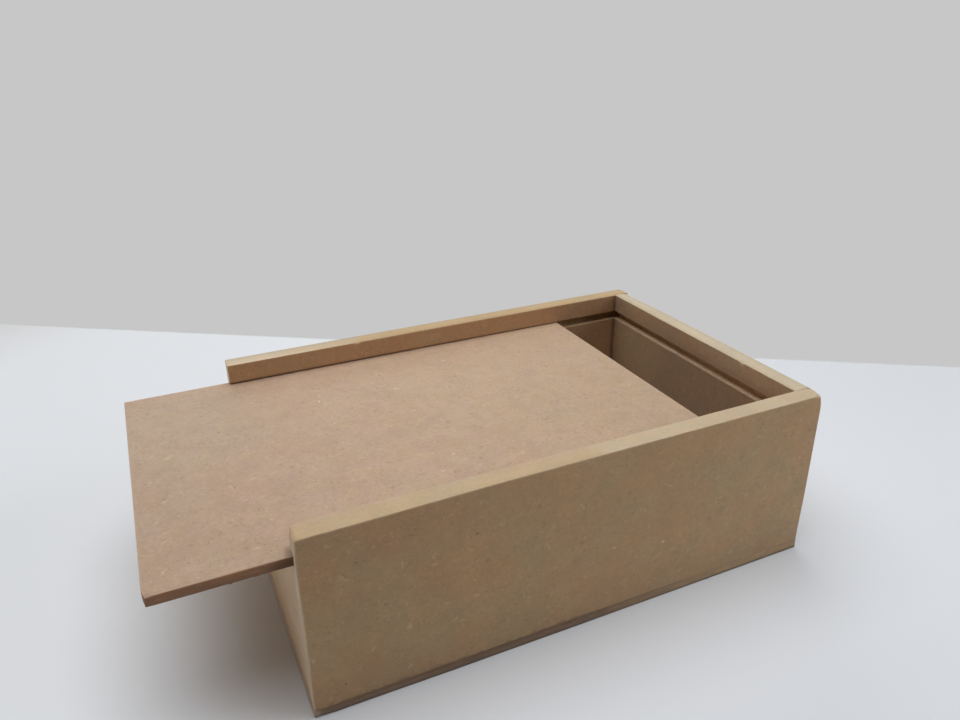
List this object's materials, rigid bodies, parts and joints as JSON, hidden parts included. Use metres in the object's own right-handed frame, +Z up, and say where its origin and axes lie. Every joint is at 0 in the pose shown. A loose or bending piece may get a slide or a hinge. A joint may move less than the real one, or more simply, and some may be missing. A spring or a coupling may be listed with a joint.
{
  "type": "sliding lid wooden box",
  "caption": "Plain raw MDF box for papers and keepsakes: glued butt-jointed walls on a thin bottom panel, with a thin flat lid that slides in a groove and pulls out over the lower front wall.",
  "frame": {"origin": "centre of the box's underside, the bottom panel's lower face; the drawn-out lid doesn't shift it", "axes": "+X along the box from its front end, where the lid pulls out, to its back wall; +Y towards the left side wall; +Z up"},
  "size_m": [0.1973, 0.111, 0.0575],
  "materials": {
    "wall_board": "raw MDF, matte, sanded edges",
    "thin_board": "raw thin MDF, matte, darker sawn edges",
    "lid_board": "raw thin MDF, matte pinkish tan face, darker sawn edges"
  },
  "bodies": {
    "box": {"bottom_panel": "thin_board", "left_side_wall": "wall_board", "right_side_wall": "wall_board", "back_wall": "wall_board", "front_wall": "wall_board"},
    "lid": {"sliding_lid": "lid_board"}
  },
  "joints": [
    {"name": "lid_slide", "type": "slide", "parent": "box", "child": "lid", "axis": [-1, 0, 0], "range_m": [-0.0304, 0.132]}
  ]
}
